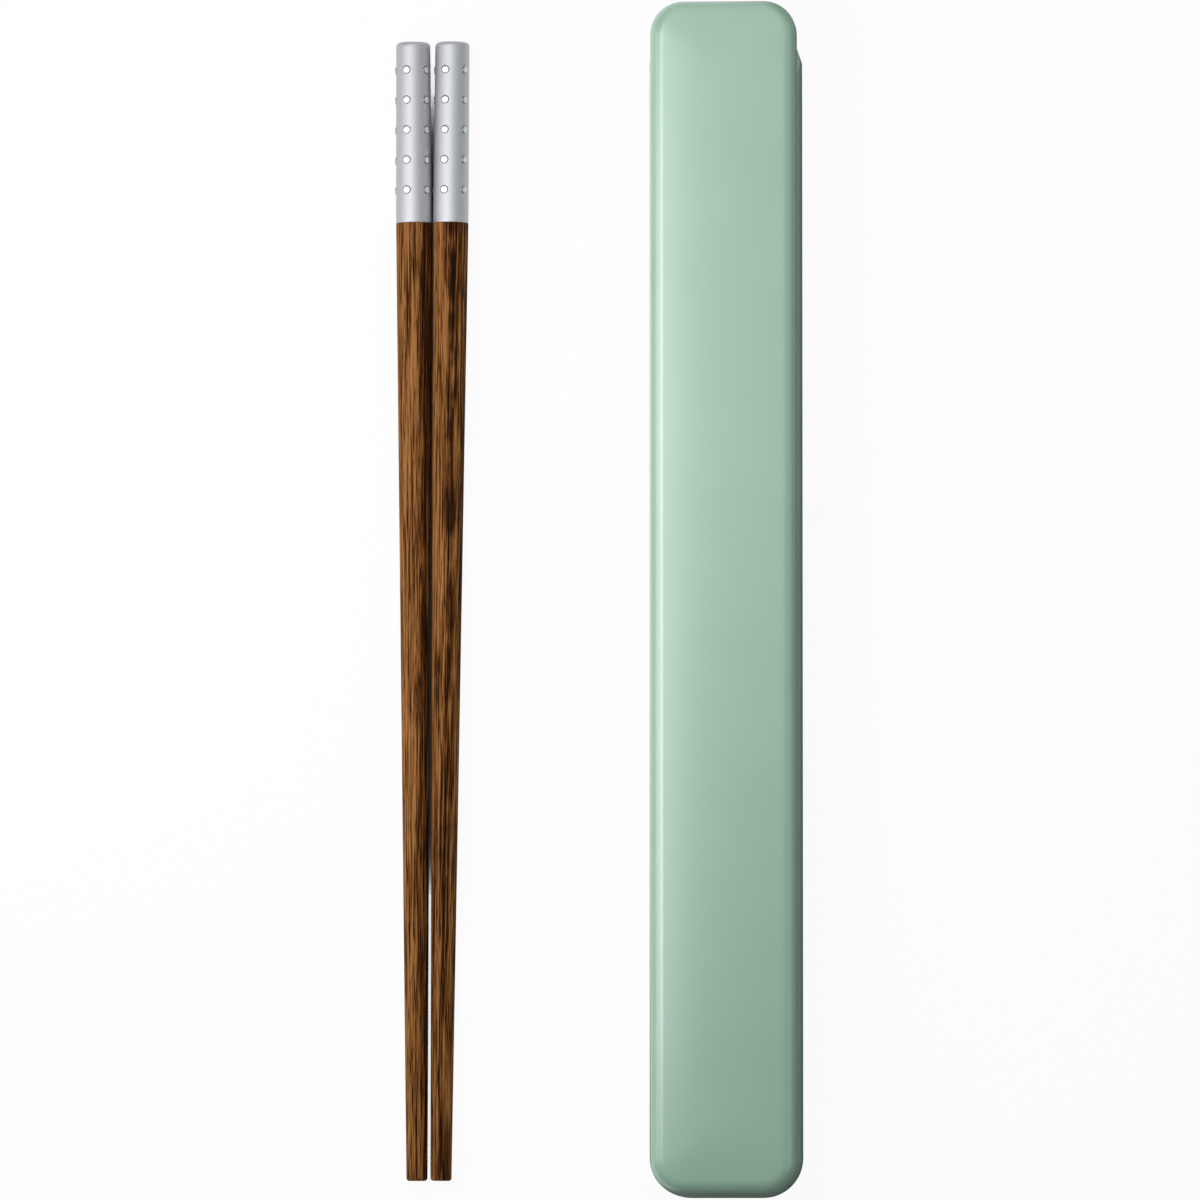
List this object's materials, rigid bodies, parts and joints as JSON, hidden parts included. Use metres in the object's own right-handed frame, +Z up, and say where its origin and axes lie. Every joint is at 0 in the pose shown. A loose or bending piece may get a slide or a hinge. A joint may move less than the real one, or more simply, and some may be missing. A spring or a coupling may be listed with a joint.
{
  "type": "portable chopstick case",
  "caption": "Long slim hard case with a lid that slides off lengthwise on hidden runners, with its pair of metal-capped wooden chopsticks lying beside it.",
  "frame": {"origin": "on the flat face under the tray, below the middle of the closed case, on the surface that the case lies on", "axes": "+Y along the case towards the end that the lid slides off, +X to the right of the picture, +Z up out of the lid"},
  "size_m": [0.0699, 0.2036, 0.017],
  "materials": {
    "case_shell": "satin sage green",
    "soft_rest": "matt soft grey",
    "stained_wood": "stained and lacquered, straight grain",
    "cap_metal": "satin",
    "stud_metal": "polished"
  },
  "bodies": {
    "case": {"base_tray": "case_shell", "head_rest": "soft_rest", "tip_rest": "soft_rest"},
    "lid": {"slide_lid": "case_shell"},
    "left_chopstick": {"left_shaft": "stained_wood", "left_cap": "cap_metal", "left_cap_studs": "stud_metal"},
    "right_chopstick": {"right_shaft": "stained_wood", "right_cap": "cap_metal", "right_cap_studs": "stud_metal"}
  },
  "joints": [
    {"name": "lid_slide", "type": "slide", "parent": "case", "child": "lid", "axis": [0, 1, 0], "range_m": [0, 0.205]},
    {"name": "left_chopstick_lift", "type": "slide", "parent": "case", "child": "left_chopstick", "axis": [0, 0, 1], "range_m": [0, 0.05]},
    {"name": "right_chopstick_lift", "type": "slide", "parent": "case", "child": "right_chopstick", "axis": [0, 0, 1], "range_m": [0, 0.05]}
  ]
}
